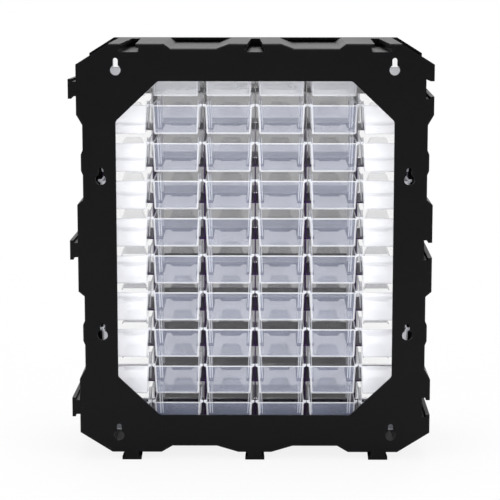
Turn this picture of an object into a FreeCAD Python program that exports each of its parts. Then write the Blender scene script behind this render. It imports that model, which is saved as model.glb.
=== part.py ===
"""Wall or bench cabinet with sixty small clear drawers, in six columns and ten rows.

A black rear housing has an open eight-sided back, eight keyholes to hang it by, and rails and
grooves that link it to cabinets beside, above and below it. A black bezel closes its front and
holds a lattice of dividers and shelves, which carries the drawers. Each drawer slides forwards
until its ears meet the back of the lattice.

The origin is under the middle of the cabinet, on the surface that it stands on. The drawers
open towards -Y, and the open back faces +Y.
"""
import FreeCAD, Part
import os
import re
import Sketcher

# Every length is in millimetres. Heights within the cabinet count from the underside of its
# body, which the feet lift off the ground.
COLUMNS = 6
ROWS = 10

SIZES = {
    # Body and its cut corners
    "body_width": 370.0,
    "body_height": 432.0,
    "body_depth": 160.0,
    "shell_wall": 2.2,
    "back_wall": 2.6,
    "corner_across": 34.0,
    "corner_up": 21.3,
    "edge_bevel": 1.2,
    # Shallow dips that run forwards along the top, the bottom and the sides
    "top_dip_depth": 5.0,
    "top_dip_near_share": 0.10811,
    "top_dip_far_share": 0.23568,
    "top_ramp_near": 13.5,
    "top_ramp_far": 7.1,
    "bottom_dip_depth": 6.8,
    "bottom_dip_near_share": 0.10838,
    "bottom_dip_far_share": 0.23595,
    "bottom_ramp_near": 22.7,
    "bottom_ramp_far": 11.5,
    "side_dip_depth": 6.2,
    "side_dip_length_share": 0.18056,
    "side_dip_low_share": 0.29815,
    "side_dip_high_share": 0.71528,
    "side_ramp_short": 5.2,
    "side_ramp_long": 10.8,
    "side_boss_height": 1.9,
    "side_boss_length": 17.0,
    "side_boss_ramp": 4.5,
    # Open back
    "rim_side": 40.8,
    "opening_low": 40.3,
    "rim_top": 38.5,
    "opening_corner_across": 43.8,
    "opening_corner_up": 41.5,
    "opening_corner_radius": 5.0,
    # Keyholes
    "keyhole_head_radius": 5.4,
    "keyhole_slot_radius": 2.6,
    "keyhole_slot_rise": 10.0,
    "keyhole_outer_inset": 41.2,
    "keyhole_top_inset": 27.1,
    "keyhole_bottom": 18.2,
    "keyhole_side_inset": 24.9,
    "keyhole_upper_share": 0.67407,
    "keyhole_lower_share": 0.29282,
    # Rails and grooves that link one cabinet to the next
    "link_height": 8.1,
    "link_flange": 3.5,
    "link_width": 20.4,
    "link_neck": 15.2,
    "link_taper": 6.6,
    "link_length_share": 0.78125,
    "link_clearance": 0.4,
    "link_across_share": 0.3527,
    "link_up_share": 0.38958,
    "link_middle_share": 0.50301,
    "link_bite": 1.1,
    # Front grid
    "bezel_depth": 10.0,
    "bezel_wall": 2.5,
    "bezel_corner_across": 27.3,
    "bezel_corner_up": 17.1,
    "slit_width": 14.0,
    "slit_height": 1.6,
    "grid_recess": 3.0,
    "grid_depth_share": 0.4625,
    "grid_low": 18.0,
    "grid_top": 16.8,
    "grid_side": 19.58,
    "divider_wall": 1.2,
    "shelf_wall": 1.4,
    "shelf_front_strip": 6.0,
    "runner_share": 0.1632,
    "tongue_length": 20.0,
    "tongue_root_share": 0.4897,
    "tongue_tip_share": 0.3809,
    # Drawers
    "drawer_gap": 5.54,
    "drawer_lean": 1.55,
    "drawer_headroom": 9.32,
    "drawer_inset": 20.0,
    "drawer_wall": 1.3,
    "drawer_floor_corner": 3.0,
    "drawer_lift": 0.3,
    "front_gap": 0.8,
    "front_clearance": 0.3,
    "front_wall": 1.8,
    "ear_reach_gap": 0.6,
    "ear_place": 4.2,
    "ear_wall": 2.5,
    "ear_height": 3.8,
    "ear_tip_height": 2.0,
    "ear_root": 1.0,
    "pull_share": 0.544,
    "pull_top_share": 0.3446,
    "pull_low_share": 0.1888,
    "pull_high_share": 0.579,
    "pull_depth": 9.0,
    "pull_wall": 1.6,
    # One overrun for every cut that has to come out clear of the surface
    "overrun": 2.0,
}

# Sizes that follow from the ones above, so that the whole cabinet keeps together
WORKED_OUT = {
    "top_dip_near": "body_width * top_dip_near_share",
    "top_dip_far": "body_width * top_dip_far_share",
    "bottom_dip_near": "body_width * bottom_dip_near_share",
    "bottom_dip_far": "body_width * bottom_dip_far_share",
    "side_dip_length": "body_height * side_dip_length_share",
    "side_dip_low": "body_height * side_dip_low_share",
    "side_dip_high": "body_height * side_dip_high_share",
    "opening_width": "body_width - 2 * rim_side",
    "opening_high": "body_height - rim_top",
    "keyhole_outer_across": "body_width - 2 * keyhole_outer_inset",
    "keyhole_side_across": "body_width - 2 * keyhole_side_inset",
    "keyhole_top": "body_height - keyhole_top_inset",
    "keyhole_upper": "body_height * keyhole_upper_share",
    "keyhole_lower": "body_height * keyhole_lower_share",
    "link_length": "body_depth * link_length_share",
    "link_spacing_across": "body_width * link_across_share",
    "link_spacing_up": "body_height * link_up_share",
    "link_middle": "body_height * link_middle_share",
    "grid_depth": "body_depth * grid_depth_share",
    "column_pitch": "(body_width - 2 * grid_side) / %d" % COLUMNS,
    "row_pitch": "(body_height - grid_low - grid_top) / %d" % ROWS,
    "grid_middle": "(body_height + grid_low - grid_top) / 2",
    "runner_width": "column_pitch * runner_share",
    "tongue_root": "column_pitch * tongue_root_share",
    "tongue_tip": "column_pitch * tongue_tip_share",
    "drawer_top_width": "column_pitch - drawer_gap",
    "drawer_floor_width": "drawer_top_width - 2 * drawer_lean",
    "drawer_height": "row_pitch - drawer_headroom",
    "pull_width": "column_pitch * pull_share",
    "pull_top_width": "column_pitch * pull_top_share",
    "pull_low": "row_pitch * pull_low_share",
    "pull_high": "row_pitch * pull_high_share",
}

# Drawers of the bottom row that share a part, by column
JOINED_COLUMNS = ((1, 2), (3, 4), (5, 6))

doc = FreeCAD.newDocument("parts_bin_cabinet")
sheet = doc.addObject("Spreadsheet::Sheet", "Sizes")
for line, (alias, value) in enumerate(list(SIZES.items()) + list(WORKED_OUT.items()), start=1):
    sheet.set("A%d" % line, alias.replace("_", " "))
    sheet.set("B%d" % line, "=%s" % value)
    sheet.setAlias("B%d" % line, alias)
doc.recompute()


def bound(text):
    """The expression that reads each named size in text from the sheet."""
    return re.sub(r"[a-z][a-z_]+", lambda word: "Sizes." + word.group(0), text)


def size(text):
    """The present value of an expression in named sizes, in millimetres."""
    return float(sheet.evalExpression(bound(text)))


def half(text):
    """Half of an expression in named sizes."""
    return "(%s) / 2" % text


def mirrored(points):
    """The points given for x above zero, and then their mirror images, as one closed outline."""
    return points + [("-(%s)" % across, up) for across, up in reversed(points)]


def turned_to_side(points, side):
    """An outline in places across and up, laid so that up points out of a side of the body."""
    return [("%s * (%s)" % (side, up), across) for across, up in points]


def moved(points, across="0", up="0"):
    """The outline moved across and up."""
    return [("(%s) + (%s)" % (x, across), "(%s) + (%s)" % (y, up)) for x, y in points]


def rectangle(left, right, low, high):
    """The four corners of an upright rectangle."""
    return [(left, low), (right, low), (right, high), (left, high)]


def origin_part(body, role):
    """The plane or axis of the body's own origin that has this role."""
    return next(part for part in body.Origin.OriginFeatures if part.Role == role)


def new_sketch(body, name, role="XZ_Plane", back="0", up="0"):
    """An empty sketch on a plane of the body's origin, moved by back against the plane's
    normal, which for the upright plane is towards +Y. Its own heights count from up."""
    sketch = body.newObject("Sketcher::SketchObject", name)
    sketch.AttachmentSupport = [(origin_part(body, role), "")]
    sketch.MapMode = "FlatFace"
    sketch.setExpression("AttachmentOffset.Base.z", bound("-(%s)" % back))
    sketch.setExpression("AttachmentOffset.Base.y", bound(up))
    return sketch


def hold_point(sketch, element, end, across, up):
    """Ties one point of a sketch to two expressions in named sizes."""
    for kind, text, axis in (("DistanceX", across, -2), ("DistanceY", up, -1)):
        if text == "0":
            sketch.addConstraint(Sketcher.Constraint("PointOnObject", element, end, axis))
        else:
            place = Sketcher.Constraint(kind, -1, 1, element, end, size(text))
            number = sketch.addConstraint(place)
            sketch.setExpression("Constraints[%d]" % number, bound(text))


def add_outline(sketch, points):
    """Draws a closed outline of straight lines through points given as expressions."""
    places = [FreeCAD.Vector(size(across), size(up), 0) for across, up in points]
    first = sketch.GeometryCount
    for index, place in enumerate(places):
        following = places[(index + 1) % len(places)]
        sketch.addGeometry(Part.LineSegment(place, following))
    for index, (across, up) in enumerate(points):
        following = first + (index + 1) % len(points)
        sketch.addConstraint(Sketcher.Constraint("Coincident", first + index, 2, following, 1))
        hold_point(sketch, first + index, 1, across, up)


def add_circle(sketch, radius, across, up):
    """Draws a circle whose radius and centre are expressions."""
    centre = FreeCAD.Vector(size(across), size(up), 0)
    upright = FreeCAD.Vector(0, 0, 1)
    circle = sketch.addGeometry(Part.Circle(centre, upright, size(radius)))
    number = sketch.addConstraint(Sketcher.Constraint("Radius", circle, size(radius)))
    sketch.setExpression("Constraints[%d]" % number, bound(radius))
    hold_point(sketch, circle, 3, across, up)


def outline_sketch(body, name, outlines, **place):
    """A sketch that holds one or more closed outlines."""
    sketch = new_sketch(body, name, **place)
    for points in outlines:
        add_outline(sketch, points)
    return sketch


def pad(body, name, sketch, length, forwards=True):
    """Grows the sketch along its plane's normal, forwards on the upright plane, or backwards."""
    feature = body.newObject("PartDesign::Pad", name)
    feature.Profile = sketch
    feature.Reversed = not forwards
    feature.setExpression("Length", bound(length))
    sketch.Visibility = False
    return feature


def cut(body, name, sketch, length, forwards=True):
    """Cuts along the sketch's normal, forwards on the upright plane, or backwards."""
    feature = body.newObject("PartDesign::Pocket", name)
    feature.Profile = sketch
    feature.Reversed = forwards
    feature.setExpression("Length", bound(length))
    sketch.Visibility = False
    return feature


def row_of(body, name, features, role, length, count):
    """Repeats features along an axis of the body's origin."""
    pattern = body.newObject("PartDesign::LinearPattern", name)
    pattern.Originals = features
    pattern.Direction = (origin_part(body, role), [""])
    pattern.Occurrences = count
    pattern.setExpression("Length", bound(length))
    body.Tip = pattern
    return pattern


def bevel_edges(body, name, kind, width, wanted):
    """Chamfers or rounds the edges of the body so far that are wanted, by their two ends."""
    doc.recompute()
    base = body.Tip
    names = []
    for number, edge in enumerate(base.Shape.Edges, start=1):
        ends = [vertex.Point for vertex in edge.Vertexes]
        if len(ends) == 2 and wanted(*ends):
            names.append("Edge%d" % number)
    if not names:
        raise RuntimeError("%s found no edges" % name)
    feature = body.newObject("PartDesign::%s" % kind, name)
    feature.Base = (base, names)
    measure = "Radius" if kind == "Fillet" else "Size"
    feature.setExpression(measure, bound(width))
    return feature


def new_body(label):
    """A new body whose label names its file."""
    body = doc.addObject("PartDesign::Body", label)
    body.Label = label
    body.AllowCompound = True
    return body


def housing_outline(inset):
    """The body's outline with its cut corners and dips, drawn in by inset all round."""
    side = "body_width / 2 - %s" % inset
    dip = "body_width / 2 - side_dip_depth - %s" % inset
    boss = "body_width / 2 - side_dip_depth + side_boss_height - %s" % inset
    # A line along a cut corner moves in less at its ends than a square corner does
    slack = "(%s) * 0.4" % inset
    points = [
        ("bottom_dip_near - bottom_ramp_near", inset),
        ("bottom_dip_near", "bottom_dip_depth + %s" % inset),
        ("bottom_dip_far", "bottom_dip_depth + %s" % inset),
        ("bottom_dip_far + bottom_ramp_far", inset),
        ("body_width / 2 - corner_across - %s" % slack, inset),
        (side, "corner_up + %s" % slack),
    ]
    for middle, ramp_below, ramp_above in (
        ("side_dip_low", "side_ramp_long", "side_ramp_short"),
        ("side_dip_high", "side_ramp_short", "side_ramp_long"),
    ):
        points += [
            (side, "%s - side_dip_length / 2 - %s" % (middle, ramp_below)),
            (dip, "%s - side_dip_length / 2" % middle),
            (dip, "%s - side_boss_length / 2 - side_boss_ramp" % middle),
            (boss, "%s - side_boss_length / 2" % middle),
            (boss, "%s + side_boss_length / 2" % middle),
            (dip, "%s + side_boss_length / 2 + side_boss_ramp" % middle),
            (dip, "%s + side_dip_length / 2" % middle),
            (side, "%s + side_dip_length / 2 + %s" % (middle, ramp_above)),
        ]
    points += [
        (side, "body_height - corner_up - %s" % slack),
        ("body_width / 2 - corner_across - %s" % slack, "body_height - %s" % inset),
        ("top_dip_far + top_ramp_far", "body_height - %s" % inset),
        ("top_dip_far", "body_height - top_dip_depth - %s" % inset),
        ("top_dip_near", "body_height - top_dip_depth - %s" % inset),
        ("top_dip_near - top_ramp_near", "body_height - %s" % inset),
    ]
    return mirrored(points)


def groove_block():
    """The section of the solid wall that stands round a groove, inside the shell."""
    across = half("link_width + 2 * link_clearance + 2 * shell_wall")
    floor = "-(link_height + link_clearance + shell_wall)"
    return mirrored([(across, "-shell_wall / 2"), (across, floor)])


def side_place(points, side):
    """An outline laid on the side of the body at the lowest link, for side 1 or -1."""
    laid = turned_to_side(moved(points, up="body_width / 2"), side)
    return moved(laid, up="link_middle - link_spacing_up")


def make_links(body):
    """Rails on one side and underneath, and grooves on the other side and on top."""
    back = "body_depth / 2"
    heights = "2 * link_spacing_up"
    widths = "2 * link_spacing_across"
    left = "-link_spacing_across"

    block_length = "body_depth - bezel_depth"
    blocks = (
        ("top_groove_walls", moved(groove_block(), across=left, up="body_height"), "X_Axis", widths),
        ("side_groove_walls", side_place(groove_block(), -1), "Z_Axis", heights),
    )
    for name, points, axis, length in blocks:
        sketch = outline_sketch(body, name + "_outline", [points], back=back, up="link_height")
        walls = pad(body, name, sketch, block_length)
        row_of(body, name + "_row", [walls], axis, length, 3)

    below = "link_height"
    above = "link_height + body_height"
    left_side = "-body_width / 2"
    right_side = "body_width / 2"
    lip = "(link_height - link_flange - link_clearance)"
    hollow = "(link_height + link_clearance)"
    step = "link_height - link_flange"
    rails = (
        ("feet_necks", "XY", "link_flange", below + " + link_bite", "link_neck"),
        ("feet_flanges", "XY", "0", "link_flange", "link_width"),
        ("rail_necks", "YZ", right_side + " - link_bite", "%s + %s" % (right_side, step),
         "link_neck"),
        ("rail_flanges", "YZ", "%s + %s" % (right_side, step), right_side + " + link_height",
         "link_width"),
    )
    grooves = (
        ("top_mouths", "XY", "%s - %s" % (above, lip), above + " + overrun", "link_neck"),
        ("top_hollows", "XY", "%s - %s" % (above, hollow), "%s - %s" % (above, lip),
         "link_width"),
        ("side_mouths", "YZ", left_side + " - overrun", "%s + %s" % (left_side, lip),
         "link_neck"),
        ("side_hollows", "YZ", "%s + %s" % (left_side, lip), "%s + %s" % (left_side, hollow),
         "link_width"),
    )
    for name, plane, low, high, width in rails:
        add_link_layer(body, name, plane, low, high, width, "body_depth / 2", pad)
    for name, plane, low, high, width in grooves:
        add_link_layer(body, name, plane, low, high, width + " + 2 * link_clearance",
                       "body_depth / 2 + overrun", cut)


def add_link_layer(body, name, plane, low, high, width, start, add):
    """One flat layer of a row of three rails or grooves, between two levels. It is widest at
    the back, where a neighbouring cabinet slides on, and narrows forwards to its end."""
    end = "body_depth / 2 - link_length"
    points = mirrored([(half(width), start), (half("%s - link_taper" % width), end)])
    axis = "X_Axis"
    length = "2 * link_spacing_across"
    if plane == "XY":
        points = moved(points, across="-link_spacing_across")
    else:
        axis = "Z_Axis"
        length = "2 * link_spacing_up"
        points = [(depth, across) for across, depth in points]
        points = moved(points, up="link_height + link_middle - link_spacing_up")
    sketch = outline_sketch(body, name + "_outline", [points], role=plane + "_Plane",
                            back="-(%s)" % low)
    layer = add(body, name, sketch, "%s - (%s)" % (high, low))
    row_of(body, name + "_row", [layer], axis, length, 3)


def keyhole_places():
    """The centres of the keyholes' round heads, across and up."""
    places = []
    for across, heights in (
        ("keyhole_outer_across / 2", ("keyhole_top", "keyhole_bottom")),
        ("keyhole_side_across / 2", ("keyhole_upper", "keyhole_lower")),
    ):
        for up in heights:
            places += [(across, up), ("-(%s)" % across, up)]
    return places


def add_slot(sketch, across, up):
    """Draws a keyhole's narrow slot, from the head's centre up to its round end."""
    radius = size("keyhole_slot_radius")
    x = size(across)
    low = size(up)
    high = size("%s + keyhole_slot_rise" % up)
    upright = FreeCAD.Vector(0, 0, 1)
    corners = [FreeCAD.Vector(x + side * radius, y, 0) for side, y in
               ((1, low), (1, high), (-1, high), (-1, low))]
    right = sketch.addGeometry(Part.LineSegment(corners[0], corners[1]))
    circle = Part.Circle(FreeCAD.Vector(x, high, 0), upright, radius)
    half_turn = FreeCAD.Units.Quantity("180 deg").getValueAs("rad").Value
    end = sketch.addGeometry(Part.ArcOfCircle(circle, 0, half_turn))
    left = sketch.addGeometry(Part.LineSegment(corners[2], corners[3]))
    bottom = sketch.addGeometry(Part.LineSegment(corners[3], corners[0]))
    for rule in (
        Sketcher.Constraint("Tangent", right, 2, end, 1),
        Sketcher.Constraint("Tangent", end, 2, left, 1),
        Sketcher.Constraint("Coincident", left, 2, bottom, 1),
        Sketcher.Constraint("Coincident", bottom, 2, right, 1),
        Sketcher.Constraint("Vertical", right),
        Sketcher.Constraint("Horizontal", bottom),
    ):
        sketch.addConstraint(rule)
    number = sketch.addConstraint(Sketcher.Constraint("Radius", end, radius))
    sketch.setExpression("Constraints[%d]" % number, bound("keyhole_slot_radius"))
    hold_point(sketch, end, 3, across, "%s + keyhole_slot_rise" % up)
    floor = sketch.addConstraint(Sketcher.Constraint("DistanceY", -1, 1, bottom, 1, low))
    sketch.setExpression("Constraints[%d]" % floor, bound(up))


def make_housing():
    """The rear housing: an open-fronted shell whose back has the eight-sided opening."""
    body = new_body("rear_housing")
    back = "body_depth / 2"
    shell_length = "body_depth - bezel_depth"
    outer = outline_sketch(body, "shell_outline", [housing_outline("0")],
                           back=back, up="link_height")
    pad(body, "shell", outer, shell_length)
    inner = outline_sketch(body, "shell_inside", [housing_outline("shell_wall")],
                           back=back + " - back_wall", up="link_height")
    cut(body, "shell_hollow", inner, "body_depth")
    bevel_edges(body, "back_rim", "Chamfer", "edge_bevel",
                lambda one, other: min(one.y, other.y) > size("body_depth / 2 - back_wall / 2"))
    make_links(body)

    opening = mirrored([
        ("opening_width / 2 - opening_corner_across", "opening_low"),
        ("opening_width / 2", "opening_low + opening_corner_up"),
        ("opening_width / 2", "opening_high - opening_corner_up"),
        ("opening_width / 2 - opening_corner_across", "opening_high"),
    ])
    window = outline_sketch(body, "open_back_outline", [opening], back=back + " + overrun",
                            up="link_height")
    cut(body, "open_back", window, "back_wall + 2 * overrun")
    bevel_edges(body, "open_back_corners", "Fillet", "opening_corner_radius",
                is_opening_corner)

    heads = new_sketch(body, "keyhole_heads_outline", back=back + " + overrun", up="link_height")
    slots = new_sketch(body, "keyhole_slots_outline", back=back + " + overrun", up="link_height")
    for across, up in keyhole_places():
        add_circle(heads, "keyhole_head_radius", across, up)
        add_slot(slots, across, up)
    cut(body, "keyhole_heads", heads, "back_wall + 2 * overrun")
    cut(body, "keyhole_slots", slots, "back_wall + 2 * overrun")
    return body


def is_opening_corner(one, other):
    """Whether an edge is one of the eight short ones at the corners of the open back."""
    near = size("shell_wall / 2")
    if abs(one.x - other.x) > near or abs(one.z - other.z) > near:
        return False
    side = size("opening_width / 2")
    shoulder = size("opening_width / 2 - opening_corner_across")
    low = size("link_height + opening_low")
    high = size("link_height + opening_high")
    below = size("link_height + opening_low + opening_corner_up")
    above = size("link_height + opening_high - opening_corner_up")
    corners = ((side, below), (side, above), (shoulder, low), (shoulder, high))
    return any(abs(abs(one.x) - x) < near and abs(one.z - z) < near for x, z in corners)


def bezel_outline(inset, corner_inset):
    """The front bezel's plain outline with its cut corners, drawn in by inset."""
    side = "body_width / 2 - %s" % inset
    return mirrored([
        ("body_width / 2 - bezel_corner_across - %s" % corner_inset, inset),
        (side, "bezel_corner_up + %s" % corner_inset),
        (side, "body_height - bezel_corner_up - %s" % corner_inset),
        ("body_width / 2 - bezel_corner_across - %s" % corner_inset,
         "body_height - %s" % inset),
    ])


def lattice_rectangle(margin):
    """The outline of the whole lattice, from its outer faces, with a margin round it."""
    across = "%d * column_pitch / 2 + divider_wall / 2 + %s" % (COLUMNS, margin)
    up = "%d * row_pitch / 2 + shelf_wall / 2 + %s" % (ROWS, margin)
    return rectangle("-(%s)" % across, across,
                     "grid_middle - (%s)" % up, "grid_middle + (%s)" % up)


def make_bezel():
    """The front bezel: a plate with a skirt round its rim and a collar round the lattice."""
    body = new_body("front_bezel")
    front = "-body_depth / 2"
    window = lattice_rectangle("0")
    slack = "shell_wall * 0.4"
    rings = (
        ("plate", "bezel_wall", [bezel_outline("0", "0"), window]),
        ("skirt", "bezel_depth", [bezel_outline("0", "0"), bezel_outline("shell_wall", slack)]),
        ("collar", "bezel_depth", [lattice_rectangle("bezel_wall"), window]),
    )
    for name, depth, outlines in rings:
        sketch = outline_sketch(body, name + "_outline", outlines, back=front, up="link_height")
        pad(body, name, sketch, depth, forwards=False)
    slit = mirrored([
        ("slit_width / 2", "body_height - link_height"),
        ("slit_width / 2", "body_height - link_height + slit_height"),
    ])
    places = ("-link_spacing_across", "0", "link_spacing_across")
    slits = outline_sketch(body, "slits_outline",
                           [moved(slit, across=place) for place in places],
                           back=front + " - overrun", up="link_height")
    cut(body, "slits", slits, "bezel_wall + 2 * overrun", forwards=False)
    return body


def make_dividers():
    """The lattice's upright dividers, which run from its front edge to its rear edge."""
    body = new_body("dividers")
    left = "-(%d * column_pitch / 2)" % COLUMNS
    up = "%d * row_pitch / 2 + shelf_wall / 2" % ROWS
    plate = rectangle(left + " - divider_wall / 2", left + " + divider_wall / 2",
                      "grid_middle - (%s)" % up, "grid_middle + (%s)" % up)
    sketch = outline_sketch(body, "divider_outline", [plate],
                            back="grid_recess - body_depth / 2", up="link_height")
    divider = pad(body, "divider", sketch, "grid_depth", forwards=False)
    row_of(body, "divider_row", [divider], "X_Axis", "%d * column_pitch" % COLUMNS, COLUMNS + 1)
    return body


def make_shelf_pieces(label, outlines):
    """One body with the same flat pieces in every cell, at the level of each shelf."""
    body = new_body(label)
    low = "link_height + grid_middle - %d * row_pitch / 2 - shelf_wall / 2" % ROWS
    first = "(1 - %d) * column_pitch / 2" % COLUMNS
    sketch = outline_sketch(body, label + "_outline",
                            [moved(points, across=first) for points in outlines],
                            role="XY_Plane", back="-(%s)" % low)
    piece = pad(body, label + "_piece", sketch, "shelf_wall")
    across = body.newObject("PartDesign::LinearPattern", label + "_across")
    across.Direction = (origin_part(body, "X_Axis"), [""])
    across.Occurrences = COLUMNS
    across.setExpression("Length", bound("%d * column_pitch" % (COLUMNS - 1)))
    upwards = body.newObject("PartDesign::LinearPattern", label + "_up")
    upwards.Direction = (origin_part(body, "Z_Axis"), [""])
    upwards.Occurrences = ROWS + 1
    upwards.setExpression("Length", bound("%d * row_pitch" % ROWS))
    both = body.newObject("PartDesign::MultiTransform", label + "_grid")
    both.Originals = [piece]
    both.Transformations = [across, upwards]
    body.Tip = both
    return body


def make_lattice():
    """The lattice, whose pieces meet face to face. A shelf has a strip along the front, two
    runners that carry a drawer's floor, and a short tongue that narrows backwards."""
    front = "grid_recess - body_depth / 2"
    side = half("column_pitch - divider_wall")
    runner = side + " - runner_width"
    strip_end = front + " + shelf_front_strip"
    rear = front + " + grid_depth"
    strip = rectangle("-(%s)" % side, side, front, strip_end)
    tongue = mirrored([
        (half("tongue_root"), strip_end),
        (half("tongue_tip"), front + " + tongue_length"),
    ])
    runners = [
        rectangle(runner, side, strip_end, rear),
        rectangle("-(%s)" % side, "-(%s)" % runner, strip_end, rear),
    ]
    lattice = doc.addObject("Part::Compound", "lattice")
    lattice.Label = "front_lattice"
    lattice.Links = [
        make_dividers(),
        make_shelf_pieces("shelf_strips", [strip]),
        make_shelf_pieces("shelf_tongues", [tongue]),
        make_shelf_pieces("shelf_runners", runners),
    ]
    return lattice


def drawer_outline(inset, top):
    """The drawer's section across, drawn in by inset, with cut corners along its floor."""
    lean = "(drawer_top_width - drawer_floor_width) / 2 / drawer_height"
    corner = "drawer_floor_corner"
    return mirrored([
        ("drawer_floor_width / 2 - %s" % corner, inset),
        ("drawer_floor_width / 2 + %s * (%s) - %s" % (corner, lean, inset), corner),
        ("drawer_floor_width / 2 + (%s) * (%s) - %s" % (top, lean, inset), top),
    ])


def make_drawer(label):
    """One drawer: a clear tub with a taller front, two ears at its rear and a cupped pull."""
    body = new_body(label)
    length = "body_depth - drawer_inset - grid_recess + front_clearance"
    tub = outline_sketch(body, "tub_outline", [drawer_outline("0", "drawer_height")])
    pad(body, "tub", tub, length)
    hollow = outline_sketch(body, "tub_hollow_outline",
                            [drawer_outline("drawer_wall", "drawer_height + overrun")],
                            back="-drawer_wall")
    cut(body, "tub_hollow", hollow, "%s - drawer_wall" % length)

    under = "drawer_lift + shelf_wall / 2 - front_gap / 2"
    across = half("column_pitch - front_gap")
    front = outline_sketch(
        body, "front_outline",
        [rectangle("-(%s)" % across, across, "-(%s)" % under,
                   "row_pitch - front_gap - (%s)" % under)],
        back="-(%s)" % length)
    pad(body, "front", front, "front_wall")

    reach = half("column_pitch - ear_reach_gap")
    root = "drawer_top_width / 2 - ear_root"
    ear = [
        (root, "drawer_height - ear_height"),
        (reach, "drawer_height - ear_tip_height"),
        (reach, "drawer_height"),
        (root, "drawer_height"),
    ]
    other = [("-(%s)" % x, up) for x, up in reversed(ear)]
    ears = outline_sketch(body, "ears_outline", [ear, other], back="-ear_place")
    pad(body, "ears", ears, "ear_wall")

    face = "-(%s) - front_wall" % length
    hood = mirrored([
        ("pull_width / 2", "pull_low"),
        ("pull_top_width / 2", "pull_high"),
    ])
    pull = outline_sketch(body, "pull_outline", [hood], back=face)
    pad(body, "pull", pull, "pull_depth")
    finger = mirrored([
        ("pull_width / 2 - pull_wall", "pull_low - overrun"),
        ("pull_width / 2 - pull_wall", "pull_low"),
        ("pull_top_width / 2 - pull_wall / 2", "pull_high - pull_wall"),
    ])
    space = outline_sketch(body, "pull_hollow_outline", [finger], back=face)
    cut(body, "pull_hollow", space, "pull_depth - pull_wall")
    return body


def place_drawer(item, column, row):
    """Puts a drawer into its cell. Columns count from -X, and rows from the top."""
    item.setExpression("Placement.Base.x", bound(
        "(%d - %d / 2 - 0.5) * column_pitch" % (column, COLUMNS)))
    item.setExpression("Placement.Base.y", bound("body_depth / 2 - drawer_inset"))
    item.setExpression("Placement.Base.z", bound(
        "link_height + grid_middle + (%d / 2 - %d) * row_pitch + shelf_wall / 2 + drawer_lift"
        % (ROWS, row)))


def copy_drawer(master, name, column, row):
    """Another drawer like the master, in its own cell."""
    item = doc.addObject("App::Link", name)
    item.LinkedObject = master
    item.Label = name
    place_drawer(item, column, row)
    return item


def make_drawers():
    """All sixty drawers. Those that share a node become one object of two separate solids."""
    master = make_drawer("drawer_r01_c1")
    place_drawer(master, 1, 1)
    parts = [master]
    for row in range(1, ROWS + 1):
        pairs = JOINED_COLUMNS if row == ROWS else ()
        paired = [column for pair in pairs for column in pair]
        for column in range(1, COLUMNS + 1):
            if (row, column) != (1, 1) and column not in paired:
                name = "drawer_r%02d_c%d" % (row, column)
                parts.append(copy_drawer(master, name, column, row))
        for pair in pairs:
            group = doc.addObject("Part::Compound", "pair")
            group.Label = "drawers_r%02d_c%d_c%d" % ((row,) + pair)
            group.Links = [copy_drawer(master, "half_r%02d_c%d" % (row, column), column, row)
                           for column in pair]
            parts.append(group)
    return parts


def main():
    """Builds every part, checks it and writes its file."""
    parts = [make_housing(), make_bezel(), make_lattice()] + make_drawers()
    doc.recompute()
    for item in doc.Objects:
        if "Invalid" in item.State or "Error" in item.State:
            raise RuntimeError("%s did not build: %s" % (item.Name, item.State))
    os.makedirs("parts", exist_ok=True)
    for part in parts:
        shape = Part.getShape(part)
        if shape.isNull() or not shape.isValid():
            raise RuntimeError("%s has no valid shape" % part.Label)
        shape.exportStep("parts/%s.step" % part.Label)
    print("%d parts written" % len(parts))


main()
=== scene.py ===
"""Looks of a wall or bench cabinet with small clear drawers, seen from its open back.

The black housing, bezel and lattice keep their own shapes and get a satin moulded plastic. The
lattice is painted lighter and purple between the drawers, and paler on its highest shelves, both
painted light. Each drawer becomes a thin-walled tub of milky clear plastic with rounded corners,
edges with a painted highlight, ears, divider ribs, a front panel with two upright bands inside
it, and a hooded pull. The drawers carry painted light and shade: a painted glow in the rear
walls, painted light on the outer columns and the top row, and painted shade on the fronts, the
lower pulls and the walls low down. A pale floor and soft lamps surround the cabinet.
"""
import math

import bmesh
import bpy
from bpy.props import FloatProperty, FloatVectorProperty, PointerProperty
from mathutils import Matrix, Vector


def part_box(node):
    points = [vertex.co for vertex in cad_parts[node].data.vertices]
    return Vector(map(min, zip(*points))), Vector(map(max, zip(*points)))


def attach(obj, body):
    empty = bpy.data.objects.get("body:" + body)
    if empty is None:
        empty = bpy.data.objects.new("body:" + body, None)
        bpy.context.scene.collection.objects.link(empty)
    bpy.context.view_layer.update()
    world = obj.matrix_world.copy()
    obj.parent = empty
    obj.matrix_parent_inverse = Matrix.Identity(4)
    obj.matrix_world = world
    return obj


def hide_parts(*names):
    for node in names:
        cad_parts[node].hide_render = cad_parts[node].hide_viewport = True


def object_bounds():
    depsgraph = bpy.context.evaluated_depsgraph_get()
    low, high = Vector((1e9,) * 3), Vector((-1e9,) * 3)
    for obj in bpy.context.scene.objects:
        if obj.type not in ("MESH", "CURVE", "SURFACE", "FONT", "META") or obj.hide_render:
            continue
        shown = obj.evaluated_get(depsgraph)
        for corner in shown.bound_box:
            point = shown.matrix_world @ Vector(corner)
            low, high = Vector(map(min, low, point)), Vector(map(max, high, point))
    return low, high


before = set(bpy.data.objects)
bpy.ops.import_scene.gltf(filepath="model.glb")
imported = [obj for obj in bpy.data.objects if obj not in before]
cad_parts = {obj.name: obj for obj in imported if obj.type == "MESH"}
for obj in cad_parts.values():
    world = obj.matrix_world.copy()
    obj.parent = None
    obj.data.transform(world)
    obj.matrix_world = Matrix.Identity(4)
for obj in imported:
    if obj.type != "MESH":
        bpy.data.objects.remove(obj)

bl_info = {
    "name": "Parts Bin Cabinet",
    "version": (1, 0, 0),
    "blender": (4, 5, 0),
    "location": "View3D > Sidebar > Cabinet",
    "description": "Builds the looks of a cabinet with small clear drawers",
    "category": "Object",
}

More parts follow.
